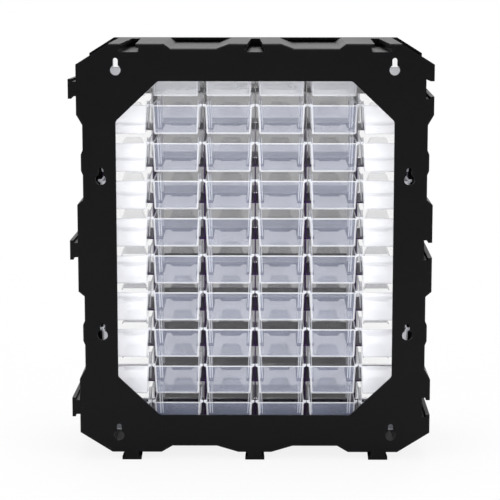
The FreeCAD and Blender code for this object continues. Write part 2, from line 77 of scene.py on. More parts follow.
CAD_BOX = [list(corner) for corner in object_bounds()]

MM = 0.001
NEAR = 0.1 * MM
HOUSING = "rear_housing"
BEZEL = "front_bezel"
LATTICE = "front_lattice"

# The rows of drawers, from the undersides of their fronts in the frame
ROWS = 10
HIGHEST_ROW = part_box("drawer_r01_c1")[0][2]
LOWEST_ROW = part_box("drawers_r10_c1_c2")[0][2]
ROW_PITCH = (HIGHEST_ROW - LOWEST_ROW) / (ROWS - 1)

# Material slots of a drawer, after its first one, which is the clear wall
EDGE, FRONT = 1, 2

# How closely a face's direction follows an axis: mostly, or all but exactly
MOSTLY = 0.9
EXACTLY = 0.99
SMOOTH_ANGLE = math.radians(38)

# Places between which a finish, or the light and shade painted into it, changes over, in the
# cabinet's own axes
OUTER_COLUMNS = (108 * MM, 113 * MM)
REAR_WALLS = (54 * MM, 56 * MM)
BEHIND_PULLS = (-79.6 * MM, -79 * MM)
BEHIND_BEZEL = (-78.5 * MM, -77.5 * MM)
TOP_ROW = (378 * MM, 383 * MM)
LOW_WALLS_PAINTED_SHADE = (20 * MM, 60 * MM)
LOWEST_FRONTS_PAINTED_SHADE = (42.6 * MM, 43.4 * MM)
PAINTED_PALER_PULLS = (140 * MM, 270 * MM)
SHORTER_FEET = (210 * MM, 410 * MM)
PAINTED_LIGHT_SHELVES = (290 * MM, 395 * MM)

# The same, measured upwards from the underside of each drawer's tub: where the fronts' painted
# shade along their top begins, as the shelf above stands behind it
SHELF_ABOVE = (37.4 * MM, 38 * MM)

PLASTIC_IOR = 1.46

# The floor's width, in metres, and its finish. Its shadow fades out between two distances
# from the cabinet's middle
FLOOR_SIZE = 60
FLOOR_ROUGHNESS = 0.9
FLOOR_GLOSS = 0.1
SHADOW_FROM = 387.3 * MM
SHADOW_TO = 1264.9 * MM

# Where the lamps stand, the point they face, and the sizes of their squares, in metres
LAMP_AIM = (0, 0, 0.22)
KEY_SIDE, KEY_BACK, KEY_UP, KEY_SIZE = 1.9, 2.0, 1.5, 2.4
TOP_PLACE, TOP_SIZE = (0, -0.4, 2.4), 1.6
FRONT_PLACE, FRONT_SIZE = (0, -2.6, 1.5), 3.0


def length(name, default, description):
    """A size in metres that the panel shows."""
    return FloatProperty(name=name, description=description, default=default * MM,
                         min=0, subtype="DISTANCE", unit="LENGTH")


def share(name, default, description):
    """A number from nought to one that the panel shows."""
    return FloatProperty(name=name, description=description, default=default,
                         min=0, max=1, subtype="FACTOR")


def tint(name, default, description):
    """A colour that the panel shows."""
    return FloatVectorProperty(name=name, description=description, default=default,
                               min=0, max=1, size=3, subtype="COLOR")


class CabinetDrawerShape(bpy.types.PropertyGroup):
    """Sizes of one drawer."""
    top_width: length("Top width", 49.6, "Width of the tub across its rim")
    floor_width: length("Floor width", 46.5, "Width of the tub across its floor")
    height: length("Height", 30.4, "Height of the tub")
    tub_length: length("Length", 137.3, "Length of the tub behind its front panel")
    wall: length("Wall", 1.2, "Thickness of the tub's walls")
    rear_corner: length("Rear corner", 1.9, "Radius of the tub's upright rear corners")
    floor_corner: length("Floor corner", 1.7, "Radius along the tub's floor")
    # The band under the rim carries the painted highlight
    rim: length("Rim", 1.1, "Height of the bright band under the rim")
    front_width: length("Front width", 54.3, "Width of the front panel")
    front_low: length("Front drop", 0.6, "How far the front panel hangs below the tub")
    front_high: length("Front height", 38.3, "Top of the front panel above the tub's underside")
    front_wall: length("Front wall", 1.8, "Thickness of the front panel")
    stile_place: length("Stile place", 20.9, "Distance of a stile from the drawer's middle")
    stile_width: length("Stile width", 2.6, "Width of a stile inside the front panel")
    stile_wall: length("Stile wall", 0.9, "Thickness of a stile")
    stile_clear: length("Stile end", 0.8, "Distance of a stile's top from the front's top")
    stile_corner: length("Stile corner", 0.3, "Radius along a stile's inner edges")
    front_corner: length("Front corner", 2.4, "Radius of the front panel's corners")
    front_edge: length("Front edge", 0.6, "Radius along the front panel's outer edges")
    # The border carries the painted highlight
    border: length("Border", 1.1, "Width of the bright border round the front panel")
    border_step: length("Border step", 0.3, "Width of the slope inside the border")
    border_depth: length("Border depth", 0.35, "How far the panel lies below its border")
    ear_reach: length("Ear reach", 27.2, "Distance of an ear's tip from the drawer's middle")
    ear_low: length("Ear foot", 27.2, "Height of an ear's lower root")
    ear_high: length("Ear top", 31.4, "Height of an ear's top")
    ear_back: length("Ear place", 4.2, "Distance of the ears from the tub's rear")
    ear_wall: length("Ear wall", 2.5, "Thickness of an ear")
    ear_root: length("Ear root", 1.2, "How deep an ear sits in the tub's side wall")
    ear_slant: length("Ear slant", 2.2, "How much higher an ear's tip starts than its root")
    ear_corner: length("Ear corner", 0.4, "Radius of an ear's tip")
    rib_place: length("Rib place", 71.0, "Distance of the divider ribs from the tub's rear")
    rib_gap: length("Rib gap", 2.4, "Gap between the two ribs of a pair")
    rib_wall: length("Rib wall", 1.2, "Thickness of a rib")
    rib_reach: length("Rib reach", 3.6, "How far a rib stands out from the side wall")
    rib_clear: length("Rib end", 1.0, "Distance of a rib's top from the rim")
    # The ribs carry the painted highlight at their tips and roots
    rib_tip: length("Rib tip", 0.9, "Width of the bright band at a rib's tip")
    rib_root: length("Rib root", 2.1, "Distance from a rib's tip to the bright band at its root")
    pull_width: length("Pull width", 30.0, "Width of the pull at its foot")
    pull_top_width: length("Pull top width", 19.0, "Width of the pull at its top")
    pull_low: length("Pull foot", 7.5, "Height of the pull's foot")
    pull_high: length("Pull top", 23.0, "Height of the pull's top")
    pull_depth: length("Pull depth", 9.0, "How far the pull stands out")
    pull_wall: length("Pull wall", 1.5, "Thickness of the pull's walls")
    pull_shoulder: length("Pull shoulder", 2.6, "Radius of the pull's two upper corners")
    pull_edge: length("Pull edge", 2.4, "Radius round the pull's outer face")


class CabinetFinish(bpy.types.PropertyGroup):
    """Colours and finishes of the plastics."""
    black: tint("Black plastic", (0.0042, 0.0042, 0.0048), "Colour of the two black mouldings")
    black_roughness: share("Black roughness", 0.36, "Roughness of the black plastic")
    black_patches: share("Black patches", 0.10, "How much rubbed patches change roughness")
    black_swirl: share("Black swirl", 0.08, "How much finer swirls change roughness")
    black_grain: length("Black grain", 0.02, "Depth of the moulded grain in the black plastic")
    grain_strength: share("Grain strength", 0.55, "How strongly the grain is seen")
    black_gloss: share("Black gloss", 0.11, "How strongly the black plastic mirrors")
    clear: tint("Clear plastic", (0.90, 0.93, 1.00), "Colour of the milky clear walls")
    clear_cover: share("Clear cover", 0.105, "How much one face of a clear wall hides")
    clear_haze: share("Clear haze", 0.06, "How much the cover of clear walls varies")
    # Painted light: the top row's rear walls are painted milkier, where light falls on them
    top_painted_light_cover: share("Top row", 0.18, "How much more the rear walls of the top row hide")
    # Painted shade: the pulls of the lower rows are painted dark blue and more covering, those
    # of the higher rows near-white, a painted light
    pull_painted_shade_cover: share("Pull cover", 0.20, "How much more the pulls of the lower rows hide")
    pull: tint("Pull", (0.15, 0.18, 0.34), "Colour of the pulls of the lower rows")
    # Painted shade: the clear walls low down are painted darker and bluer, and lose their
    # painted glow, where the housing keeps the light off them
    lowest_painted_shade: tint("Lowest row", (0.22, 0.28, 0.40), "Colour of the clear walls low down")
    # Painted glow: the milky rear walls glow a little, bluish, and whiter on the outer columns
    # and the top row, as if they scattered the light round them
    clear_painted_glow: tint("Clear glow", (0.26, 0.30, 0.54), "Light that the milky walls scatter")
    outer_painted_glow: tint("Outer glow", (0.27, 0.27, 0.28), "Light that the outer walls scatter")
    clear_roughness: share("Clear roughness", 0.14, "Roughness of the clear plastic")
    rough_haze: share("Rough haze", 0.06, "How much rougher the haze makes clear walls")
    # Painted highlight: the clear plastic's edges are painted near-white, nearly opaque and
    # faintly glowing; the same near-white is the painted light of the outer walls and the higher
    # pulls
    bright: tint("Clear edge", (0.93, 0.94, 0.98), "Colour of edges, where the light gathers")
    bright_cover: share("Edge cover", 0.64, "How much one face of a clear edge hides")
    edge_haze: share("Edge haze", 0.12, "How much the cover of clear edges varies")
    edge_painted_glow: share("Edge glow", 0.14, "Light that the plastic leads out through its edges")
    # Painted light: the rear walls of the outer columns are painted milkier, where more light
    # comes in from the sides
    outer_painted_light_cover: share("Outer columns", 0.40, "How much more the outer rear walls hide")
    # Painted light: the fronts of the outer columns are painted almost clear, where more light
    # comes in
    outer_front_painted_light_cover: share("Outer fronts", 0.06, "How much one face of an outer front hides")
    # Painted shade: the clear fronts are painted grey and partly covering
    front_painted_shade: tint("Front", (0.29, 0.28, 0.31), "Colour of the shaded fronts")
    front_painted_shade_cover: share("Front cover", 0.44, "How much one face of a shaded front hides")
    front_cover_haze: share("Front haze", 0.10, "How much the cover of shaded fronts varies")
    # Painted shade: each front is painted dark at its foot, under the pull, and along its top,
    # where the shelf above stands behind it; the lowest fronts all over
    foot: tint("Front foot", (0.05, 0.04, 0.075), "Colour of the foot of the fronts")
    foot_painted_shade_cover: share("Foot cover", 0.72, "How much one face of a front's foot hides")
    foot_painted_shade_height: length("Foot height", 9.5, "Height of the dark foot of a front")
    foot_painted_shade_loss: length("Foot loss", 6.0, "How much of its foot's height the highest front loses")
    foot_painted_shade_edge: length("Foot edge", 0.9, "Height over which the foot fades out")
    line_pitch: length("Line pitch", 2.2, "Distance of the fine lines across a front")
    line_depth: length("Line depth", 0.02, "Height of the fine lines")
    line_cover: share("Line cover", 0.02, "How much more a fine line hides")
    # Painted light: the highest shelves of the lattice, and the fronts' feet there, are painted
    # pale where light falls on them
    shelves_painted_light: tint("Lit lattice", (0.62, 0.62, 0.60), "Colour of the highest shelves inside")
    # Painted light: the lattice is black plastic like the housing, painted lighter and purple
    # where it is seen between the drawers, for the light from the milky drawers around it
    lattice: tint("Lattice", (0.046, 0.014, 0.085), "Colour of the lattice seen between drawers")


class CabinetStudio(bpy.types.PropertyGroup):
    """The floor, the lamps and the camera."""
    camera_away: FloatProperty(name="Camera distance", unit="LENGTH", subtype="DISTANCE",
                               description="Distance of the camera from the back's plane",
                               default=1.806)
    camera_up: FloatProperty(name="Camera height", unit="LENGTH", subtype="DISTANCE",
                             description="Height of the camera above the floor", default=0.5231)
    camera_side: FloatProperty(name="Camera shift sideways", unit="LENGTH", subtype="DISTANCE",
                               description="Place of the camera across the cabinet",
                               default=-0.007)
    camera_tilt: FloatProperty(name="Camera tilt", subtype="ANGLE", unit="ROTATION",
                               description="How far the camera looks down", default=0.1461)
    camera_turn: FloatProperty(name="Camera turn", subtype="ANGLE", unit="ROTATION",
                               description="How far the camera looks to the side",
                               default=0.0067)
    lens: FloatProperty(name="Lens", description="Focal length in millimetres on a 36 mm frame",
                        default=126.24)
    lens_rise: FloatProperty(name="Lens rise", description="Vertical shift of the lens",
                             default=-0.06)
    key_power: FloatProperty(name="Key lamp", unit="POWER", default=42.0,
                             description="Power of each of the two lamps behind the cabinet")
    top_power: FloatProperty(name="Top lamp", unit="POWER", default=40.0,
                             description="Power of the lamp above the cabinet")
    front_power: FloatProperty(name="Front lamp", unit="POWER", default=14.0,
                               description="Power of the lamp on the drawers' side")
    room_light: share("Room light", 0.30, "Strength of the light from all round")
    front_gloss: share("Front gloss", 0.52, "What smooth faces mirror from the drawers' side")
    floor_tone: tint("Floor", (0.86, 0.86, 0.87), "Colour of the floor")
    floor_white: share("Floor white", 0.86, "How far the floor's shadow is lightened")


class Value:
    """A socket on its way through a material, with the usual arithmetic."""

    def __init__(self, paint, socket):
        self.paint = paint
        self.socket = socket

    def maths(self, operation, *parts):
        """A Math node on values or numbers."""
        return self.paint.node("ShaderNodeMath", {"operation": operation},
                               dict(enumerate(parts)))

    def __add__(self, other):
        return self.maths("ADD", self, other)

    def __radd__(self, other):
        return self.maths("ADD", other, self)

    def __sub__(self, other):
        return self.maths("SUBTRACT", self, other)

    def __rsub__(self, other):
        return self.maths("SUBTRACT", other, self)

    def __mul__(self, other):
        return self.maths("MULTIPLY", self, other)

    def __rmul__(self, other):
        return self.maths("MULTIPLY", other, self)

    def __mod__(self, other):
        return self.maths("FLOORED_MODULO", self, other)

    def __abs__(self):
        return self.maths("ABSOLUTE", self)

    def wave(self, pitch):
        """A wave from -1 to 1 that repeats at the pitch."""
        return self.maths("SINE", self * (2 * math.pi / pitch))

    def larger(self, other):
        """The larger of this value and another."""
        return self.maths("MAXIMUM", self, other)

    def swing(self, width):
        """Noise from 0 to 1 turned into noise of the given width round 0."""
        return (self - 0.5) * width


class Paint:
    """One material, built node by node around a single shader."""

    def __init__(self, name):
        self.material = bpy.data.materials.new(name)
        self.material.use_nodes = True
        self.tree = self.material.node_tree
        self.shader = self.tree.nodes["Principled BSDF"]

    def node(self, kind, settings=None, sockets=None, output=0):
        """Adds a node, applies its settings, then fills its sockets with values or links."""
        made = self.tree.nodes.new(kind)
        for name, setting in (settings or {}).items():
            setattr(made, name, setting)
        for key, value in (sockets or {}).items():
            self.fill(made.inputs[key], value)
        return Value(self, made.outputs[output])

    def fill(self, socket, value):
        """Links a value to a socket, or sets the socket to a number or a colour."""
        if isinstance(value, Value):
            self.tree.links.new(value.socket, socket)
        elif hasattr(value, "__len__"):
            opaque = (1,) if len(value) == 3 and socket.type == "RGBA" else ()
            socket.default_value = tuple(value) + opaque
        else:
            socket.default_value = value

    def set(self, **sockets):
        """Sets the shader's sockets, named with underscores for spaces."""
        for name, value in sockets.items():
            self.fill(self.shader.inputs[name.replace("_", " ")], value)

    def place(self):
        """The point on the object, in metres, as a vector and as its three parts."""
        point = self.node("ShaderNodeTexCoord", output=3)
        parts = [self.node("ShaderNodeSeparateXYZ", None, {0: point}, output=axis)
                 for axis in range(3)]
        return point, parts

    def noise(self, point, waves, detail=2.0, roughness=0.5):
        """Cloudy noise from 0 to 1 with the given number of waves to the metre."""
        return self.node("ShaderNodeTexNoise", None,
                         {"Vector": point, "Scale": waves, "Detail": detail,
                          "Roughness": roughness})

    def blend(self, factor, first, second):
        """Goes from the first colour to the second as the factor goes from 0 to 1."""
        return self.node("ShaderNodeMix", {"data_type": "RGBA"},
                         {0: factor, 6: first, 7: second}, output=2)

    def rise(self, value, low, high):
        """Rises smoothly from 0 to 1 as the value goes from low to high."""
        return self.node("ShaderNodeMapRange", {"interpolation_type": "SMOOTHSTEP"},
                         {"Value": value, "From Min": low, "From Max": high})

    def fall(self, value, low, high):
        """Falls smoothly from 1 to 0 as the value goes from low to high."""
        return self.rise(0 - value, -high, -low)

    def bump(self, height, depth, strength=1.0):
        """Moves the light on the surface as if it stood out by height times depth."""
        self.set(Normal=self.node("ShaderNodeBump", None,
                                  {"Strength": strength, "Distance": depth,
                                   "Height": height}))


def black_plastic(finish, name, colour, lit=None):
    """Satin moulded plastic with a fine grain and faint rubbed patches. Where a lit colour is
    given, it is painted light: the highest shelves take it on behind their fronts."""
    paint = Paint(name)
    point, (_, y, z) = paint.place()
    patches = paint.noise(point, waves=9, detail=3)
    grain = paint.noise(point, waves=1400)
    swirl = paint.noise(point, waves=60, detail=4, roughness=0.6)
    rubbed_share, pale_share, swirl_share = 0.85, 1.25, 0.6
    rubbed = tuple(part * rubbed_share for part in colour)
    pale = tuple(part * pale_share for part in colour)
    tone = paint.blend(patches, rubbed, pale)
    # Painted light on the highest shelves behind the fronts
    if lit:
        painted_light_zone = paint.rise(y, *BEHIND_BEZEL) * paint.rise(z, *PAINTED_LIGHT_SHELVES)
        tone = paint.blend(painted_light_zone, tone, lit)
    paint.set(Base_Color=tone,
              Roughness=(finish.black_roughness + patches.swing(finish.black_patches)
                         + swirl.swing(finish.black_swirl)),
              Specular_IOR_Level=finish.black_gloss)
    paint.bump(grain + swirl * swirl_share, finish.black_grain, finish.grain_strength)
    return paint.material


def clear_plastic(finish):
    """Thin milky clear plastic with faint haze, with light and shade painted in. The rear walls
    of the outer columns and of the top row are painted the milkiest, as painted light, and the
    rear walls glow a little, a painted glow. The walls low down are painted darker, as painted
    shade, and the pulls of the lower rows are painted the darkest, those of the higher rows
    near-white."""
    paint = Paint("clear_plastic_wall")
    point, (x, y, z) = paint.place()
    haze = paint.noise(point, waves=30, detail=3)
    outer = paint.rise(abs(x), *OUTER_COLUMNS)
    rear = paint.rise(y, *REAR_WALLS)
    wall = paint.rise(y, *BEHIND_PULLS)
    low = paint.rise(z, *LOW_WALLS_PAINTED_SHADE)
    pulls_painted_paler = paint.rise(z, *PAINTED_PALER_PULLS)
    outer_rear_painted_light = outer * rear
    top_rear_painted_light = paint.rise(z, *TOP_ROW) * rear

    cool_share = 0.93
    cool = tuple(part * cool_share for part in finish.clear)
    # Painted light on the outer columns' walls, which take the near-white edge colour
    tone = paint.blend(outer, paint.blend(haze, cool, finish.clear), finish.bright)
    # Painted shade on the walls low down
    tone = paint.blend(low, finish.lowest_painted_shade, tone)
    # Painted shade on the lower pulls, painted light on the higher ones
    pull = paint.blend(pulls_painted_paler, finish.pull, finish.bright)

    cover = finish.clear_cover + haze.swing(finish.clear_haze)
    cover = cover + outer_rear_painted_light * finish.outer_painted_light_cover + top_rear_painted_light * finish.top_painted_light_cover
    cover = cover + (1 - wall) * (1 - pulls_painted_paler) * finish.pull_painted_shade_cover

    # Painted glow on the rear walls, whiter on the outer columns and the top row, and none on
    # the walls low down, which are in painted shade
    glow = paint.blend(outer_rear_painted_light.larger(top_rear_painted_light), finish.clear_painted_glow, finish.outer_painted_glow)
    paint.set(Base_Color=paint.blend(wall, pull, tone),
              Alpha=cover,
              Roughness=finish.clear_roughness + haze * finish.rough_haze,
              IOR=PLASTIC_IOR,
              Emission_Color=paint.blend(low * rear, (0, 0, 0), glow),
              Emission_Strength=1.0)
    return paint.material


def painted_highlight_edge(finish):
    """The same plastic along its edges, painted near-white, nearly opaque and faintly glowing: a
    painted highlight where the edges gather the light.
    """
    paint = Paint("clear_plastic_painted_highlight")
    point, _ = paint.place()
    haze = paint.noise(point, waves=90)
    dull_share = 0.94
    dull = tuple(part * dull_share for part in finish.bright)
    paint.set(Base_Color=paint.blend(haze, dull, finish.bright),
              Alpha=finish.bright_cover + haze.swing(finish.edge_haze),
              Roughness=finish.clear_roughness,
              IOR=PLASTIC_IOR,
              Emission_Color=finish.bright,
              Emission_Strength=finish.edge_painted_glow)
    paint.bump(haze, 0.03 * MM, strength=0.2)
    return paint.material


def painted_shade_front(finish, shape):
    """The front panels, with fine lines across and shade painted on them: a grey painted shade
    all over, and a darker painted shade at the foot, under the pull, which is lower on the
    higher rows, and along the top, where the shelf above stands behind it. The lowest fronts are
    painted dark all over, and the foot is painted pale, a painted light, on the highest shelves.
    The outer columns' fronts are painted clear, because more light comes in there."""
    paint = Paint("clear_plastic_front_painted_shade")
    point, (x, _, z) = paint.place()
    haze = paint.noise(point, waves=45, detail=3)
    lines = z.wave(finish.line_pitch)
    outer = paint.rise(abs(x), *OUTER_COLUMNS)
    low = paint.fall(z, *LOWEST_FRONTS_PAINTED_SHADE)
    # Painted shade at the foot of each front and along its top
    level = (z - LOWEST_ROW - shape.front_low) % ROW_PITCH
    loss = paint.rise(z, *SHORTER_FEET) * finish.foot_painted_shade_loss
    foot = paint.fall(level + loss, finish.foot_painted_shade_height, finish.foot_painted_shade_height + finish.foot_painted_shade_edge)
    foot = foot.larger(paint.rise(level, *SHELF_ABOVE))

    # The painted shade turns to painted light on the highest shelves, and the lowest fronts are
    # painted dark all over
    foot_painted_shade_tone = paint.blend(paint.rise(z, *PAINTED_LIGHT_SHELVES), finish.foot, finish.shelves_painted_light)
    tone = paint.blend(foot, finish.front_painted_shade, foot_painted_shade_tone)
    tone = paint.blend(low, tone, finish.foot)
    cover = finish.front_painted_shade_cover + foot.larger(low) * (finish.foot_painted_shade_cover - finish.front_painted_shade_cover)
    cover = cover + haze.swing(finish.front_cover_haze) + lines * finish.line_cover
    # Painted light: the outer columns' fronts are painted clear
    paint.set(Base_Color=paint.blend(outer, tone, finish.clear),
              Alpha=cover * (1 - outer) + outer * finish.outer_front_painted_light_cover,
              Roughness=finish.clear_roughness,
              IOR=PLASTIC_IOR)
    paint.bump(lines, finish.line_depth, strength=0.3)
    return paint.material


def deselect():
    """Leaves nothing selected, in object mode."""
    if bpy.context.object and bpy.context.object.mode != "OBJECT":
        bpy.ops.object.mode_set(mode="OBJECT")
    bpy.ops.object.select_all(action="DESELECT")


def add_block(name, low, high):
    """A box between two corners, ready to be shaped, with its place in its mesh."""
    deselect()
    low, high = Vector(low), Vector(high)
    bpy.ops.mesh.primitive_cube_add(size=1, location=(low + high) / 2, scale=high - low)
    bpy.ops.object.transform_apply(location=True, rotation=True, scale=True)
    block = bpy.context.object
    block.name = block.data.name = name
    return block


class Shaping:
    """Edit mode on one object, with faces, edges and vertices chosen by their place."""

    def __init__(self, item):
        self.item = item

    def __enter__(self):
        deselect()
        bpy.context.view_layer.objects.active = self.item
        self.item.select_set(True)
        bpy.ops.object.mode_set(mode="EDIT")
        return self

    def __exit__(self, *_):
        bpy.ops.object.mode_set(mode="OBJECT")

    def choose(self, kind, wanted):
        """Selects only those of the given kind, VERT, EDGE or FACE, that are wanted."""
        bpy.ops.mesh.select_mode(type=kind)
        bpy.ops.mesh.select_all(action="DESELECT")
        mesh = bmesh.from_edit_mesh(self.item.data)
        mesh.normal_update()
        parts = {"VERT": mesh.verts, "EDGE": mesh.edges, "FACE": mesh.faces}[kind]
        chosen = [part for part in parts if wanted(part)]
        if not chosen:
            raise RuntimeError("nothing was chosen on %s" % self.item.name)
        for part in chosen:
            part.select_set(True)
        mesh.select_flush_mode()
        bmesh.update_edit_mesh(self.item.data)

    def round_off(self, radius, segments):
        """Rounds the chosen edges."""
        bpy.ops.mesh.bevel(offset=radius, segments=segments, affect="EDGES",
                           clamp_overlap=True)

    def paint_faces(self, slot, wanted):
        """Gives the wanted faces another material slot."""
        mesh = bmesh.from_edit_mesh(self.item.data)
        mesh.normal_update()
        for face in mesh.faces:
            if wanted(face):
                face.material_index = slot
        bmesh.update_edit_mesh(self.item.data)


def both_ends(edge, test):
    """Whether a test holds at both ends of an edge."""
    return all(test(corner.co) for corner in edge.verts)


def thicken(item, wall):
    """Gives an open shell its wall, inwards."""
    deselect()
    bpy.context.view_layer.objects.active = item
    item.select_set(True)
    bpy.ops.object.modifier_add(type="SOLIDIFY")
    shell = item.modifiers[-1]
    shell.thickness = wall
    shell.offset = -1
    shell.use_even_offset = True
    shell.use_quality_normals = True
    bpy.ops.object.modifier_apply(modifier=shell.name)


def join(items, name):
    """Makes one object of several."""
    deselect()
    for item in items:
        item.select_set(True)
    bpy.context.view_layer.objects.active = items[0]
    bpy.ops.object.join()
    whole = bpy.context.object
    whole.name = whole.data.name = name
    return whole


def make_tub(shape):
    """The tub: leaning sides, rounded rear corners and floor, and a painted highlight under its
    rim and round its rear wall.
    """
    half = shape.top_width / 2
    rim = shape.height - shape.rim
    tub = add_block("tub", (-half, -shape.tub_length, 0), (half, 0, shape.height))
    with Shaping(tub) as edit:
        edit.choose("VERT", lambda point: point.co.z < NEAR)
        bpy.ops.transform.resize(value=(shape.floor_width / shape.top_width, 1, 1))
        edit.choose("EDGE", lambda edge: both_ends(edge, lambda p: p.y > -NEAR)
                    and abs(edge.verts[0].co.z - edge.verts[1].co.z) > NEAR)
        edit.round_off(shape.rear_corner, 3)
        edit.choose("EDGE", lambda edge: both_ends(edge, lambda p: p.z < NEAR)
                    and not both_ends(edge, lambda p: p.y < NEAR - shape.tub_length))
        edit.round_off(shape.floor_corner, 3)
        edit.choose("FACE", lambda face: face.normal.z > MOSTLY
                    or face.normal.y < -MOSTLY)
        bpy.ops.mesh.delete(type="FACE")
        bpy.ops.mesh.select_all(action="SELECT")
        bpy.ops.mesh.bisect(plane_co=(0, 0, rim), plane_no=(0, 0, 1))
    thicken(tub, shape.wall)
    with Shaping(tub) as edit:
        # Painted highlight on the band under the rim and on the rounded outline of the rear wall
        edit.paint_faces(EDGE, lambda face: face.calc_center_median().z > rim
                         or is_rear_corner(face, shape))
    return tub


def is_rear_corner(face, shape):
    """Whether a face lies on the rounded outline of the tub's rear wall and not on its flat,
    where the painted highlight goes.
    An upright strip may face the rear a little more closely than one along the floor."""
    least, most_upright, most_low = 0.15, 0.985, 0.975
    near_rear = face.calc_center_median().y > -shape.rear_corner - shape.wall
    most = most_upright if abs(face.normal.z) < least else most_low
    return near_rear and least < abs(face.normal.y) < most


def make_ears(shape):
    """Two ears at the rear of the rim, which stop the drawer at the rear of the lattice."""
    ears = []
    back = -shape.ear_back
    root = shape.top_width / 2 - shape.ear_root
    beyond = (root + shape.ear_reach) / 2
    for side in (-1, 1):
        left, right = sorted((side * root, side * shape.ear_reach))
        ear = add_block("ear", (left, back - shape.ear_wall, shape.ear_low),
                        (right, back, shape.ear_high))
        with Shaping(ear) as edit:
            edit.choose("VERT", lambda point: abs(point.co.x) > beyond
                        and point.co.z < shape.ear_low + NEAR)
            bpy.ops.transform.translate(value=(0, 0, shape.ear_slant))
            edit.choose("EDGE", lambda edge: both_ends(edge, lambda p: abs(p.x) > beyond))
            edit.round_off(shape.ear_corner, 2)
            # The ears are painted with the highlight all over
            edit.paint_faces(EDGE, lambda face: True)
        ears.append(ear)
    return ears


def make_ribs(shape):
    """Two pairs of upright ribs at mid-length, which hold a divider between them."""
    ribs = []
    lean = (shape.top_width - shape.floor_width) / 2
    lean_share = 0.96
    root = shape.floor_width / 2 - shape.wall / 2
    tip = root - shape.rib_reach
    for side in (-1, 1):
        left, right = sorted((side * tip, side * root))
        slope = Vector((side, 0, -lean / shape.height))
        for step in (-1, 1):
            middle = -shape.rib_place + step * (shape.rib_gap + shape.rib_wall) / 2
            rib = add_block("rib", (left, middle - shape.rib_wall / 2, shape.wall / 2),
                            (right, middle + shape.rib_wall / 2,
                             shape.height - shape.rib_clear))
            with Shaping(rib) as edit:
                edit.choose("VERT", lambda point: point.co.z > shape.height / 2)
                bpy.ops.transform.translate(value=(side * lean * lean_share, 0, 0))
                for reach in (tip + shape.rib_tip, tip + shape.rib_root):
                    bpy.ops.mesh.select_all(action="SELECT")
                    bpy.ops.mesh.bisect(plane_co=(side * reach, 0, 0), plane_no=slope)
                # Painted highlight at the rib's tip and root
                edit.paint_faces(EDGE, lambda face: is_rib_edge(
                    face, shape, Vector((side * tip, 0, 0)), slope))
            ribs.append(rib)
    return ribs


def is_rib_edge(face, shape, tip, slope):
    """Whether a face of a rib belongs to the painted highlight at its tip or at its root."""
    away = (face.calc_center_median() - tip).dot(slope)
    return away < shape.rib_tip or away > shape.rib_root


def make_stiles(shape):
    """Two upright bands inside the front panel, where the tub's sides grow out of it."""
    stiles = []
    back = -shape.tub_length
    for side in (-1, 1):
        left, right = sorted((side * shape.stile_place,
                              side * (shape.stile_place + shape.stile_width)))
        stile = add_block("stile", (left, back, shape.wall),
                          (right, back + shape.stile_wall,
                           shape.front_high - shape.stile_clear))
        with Shaping(stile) as edit:
            edit.choose("EDGE", lambda edge: both_ends(edge, lambda p: p.y > back + NEAR))
            edit.round_off(shape.stile_corner, 2)
            # The stiles are painted with the highlight all over
            edit.paint_faces(EDGE, lambda face: True)
        stiles.append(stile)
    return stiles


def make_front(shape):
    """The front panel, with rounded corners and a border that stands out a little and carries a
    painted highlight.
    """
    half = shape.front_width / 2
    back = -shape.tub_length
    face_plane = back - shape.front_wall
    panel = add_block("front", (-half, face_plane, -shape.front_low),
                      (half, back, shape.front_high))
    with Shaping(panel) as edit:
        edit.choose("EDGE", lambda edge: abs(edge.verts[0].co.y - edge.verts[1].co.y) > NEAR)
        edit.round_off(shape.front_corner, 3)
        edit.choose("EDGE", lambda edge: both_ends(edge, lambda p: p.y < face_plane + NEAR))
        edit.round_off(shape.front_edge, 2)
        edit.choose("FACE", lambda face: face.normal.y < -EXACTLY)
        bpy.ops.mesh.inset(thickness=shape.border, depth=0)
        bpy.ops.mesh.inset(thickness=shape.border_step, depth=-shape.border_depth)
        # The panel takes the fronts' painted shade, and its border and slopes the painted
        # highlight
        edit.paint_faces(FRONT, lambda face: abs(face.normal.y) > EXACTLY)
        edit.paint_faces(EDGE, lambda face: abs(face.normal.y) <= EXACTLY)
    return panel


def make_pull(shape):
    """The pull: a hood that is open below, narrower at its top, with rounded shoulders."""
    back = -shape.tub_length - shape.front_wall
    outer_plane = back - shape.pull_depth
    half = shape.pull_width / 2
    hood = add_block("pull", (-half, outer_plane, shape.pull_low),
                     (half, back, shape.pull_high))
    with Shaping(hood) as edit:
        edit.choose("VERT", lambda point: point.co.z > shape.pull_high - NEAR)
        bpy.ops.transform.resize(value=(shape.pull_top_width / shape.pull_width, 1, 1))
        edit.choose("EDGE", lambda edge: both_ends(edge, lambda p: p.z > shape.pull_high - NEAR)
                    and abs(edge.verts[0].co.x - edge.verts[1].co.x) < NEAR)
        edit.round_off(shape.pull_shoulder, 4)
        edit.choose("EDGE", lambda edge: both_ends(edge, lambda p: p.y < outer_plane + NEAR)
                    and not both_ends(edge, lambda p: p.z < shape.pull_low + NEAR))
        edit.round_off(shape.pull_edge, 3)
        edit.choose("FACE", lambda face: face.normal.z < -MOSTLY
                    or face.normal.y > MOSTLY)
        bpy.ops.mesh.delete(type="FACE")
    thicken(hood, shape.pull_wall)
    with Shaping(hood) as edit:
        # The pull's lower edges carry the painted highlight
        edit.paint_faces(EDGE, lambda face: face.normal.z < -MOSTLY)
    return hood


def smooth(item, angle):
    """Shades an object smooth, except across edges sharper than the angle."""
    deselect()
    bpy.context.view_layer.objects.active = item
    item.select_set(True)
    bpy.ops.object.shade_smooth_by_angle(angle=angle)
    bpy.ops.object.modifier_add(type="WEIGHTED_NORMAL")
    weighted = item.modifiers[-1]
    weighted.mode = "FACE_AREA"
    weighted.weight = 100
    weighted.keep_sharp = True
    bpy.ops.object.modifier_apply(modifier=weighted.name)


